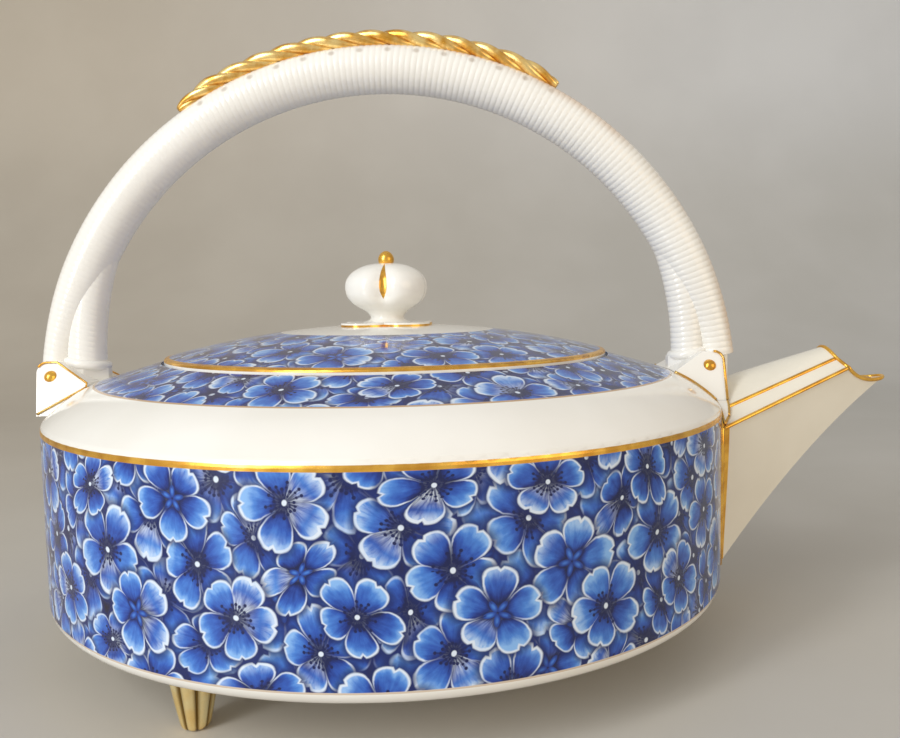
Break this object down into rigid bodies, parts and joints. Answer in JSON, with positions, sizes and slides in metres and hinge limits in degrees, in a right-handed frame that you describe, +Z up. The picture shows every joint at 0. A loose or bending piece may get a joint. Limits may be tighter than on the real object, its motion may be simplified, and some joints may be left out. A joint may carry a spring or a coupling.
{
  "type": "teapot with an overhead handle",
  "caption": "Low drum-shaped porcelain teapot on short feet with an angular spout, an overhead hoop handle and a domed lift-off lid; blue blossom print, white shoulder and gilt lines.",
  "frame": {"origin": "where the drum's axis meets the surface that the teapot stands on", "axes": "+X from the drum's axis towards the spout, +Z up along the drum's axis, +Y completes a right-handed frame"},
  "size_m": [0.1967, 0.15, 0.1365],
  "materials": {
    "printed_porcelain": "clear gloss glaze over white porcelain with a cobalt blossom print and gilt lines",
    "white_porcelain": "clear gloss glaze over warm white porcelain with gilt lines",
    "gilded_porcelain": "burnished gilding over glazed porcelain"
  },
  "bodies": {
    "pot": {"body_shell": "printed_porcelain", "spout": "white_porcelain", "handle_hoop": "white_porcelain", "handle_plait": "gilded_porcelain", "lug_spout": "white_porcelain", "lug_rear": "white_porcelain", "stud_spout_front": "gilded_porcelain", "stud_spout_back": "gilded_porcelain", "stud_rear_front": "gilded_porcelain", "stud_rear_back": "gilded_porcelain", "foot_spout": "gilded_porcelain", "foot_back": "gilded_porcelain", "foot_front": "gilded_porcelain"},
    "lid": {"lid": "printed_porcelain", "knob_plinth": "white_porcelain", "knob_bud": "white_porcelain", "knob_finial": "gilded_porcelain"}
  },
  "joints": [
    {"name": "lid_lift", "type": "slide", "parent": "pot", "child": "lid", "axis": [0, 0, 1], "range_m": [0, 0.03]}
  ]
}
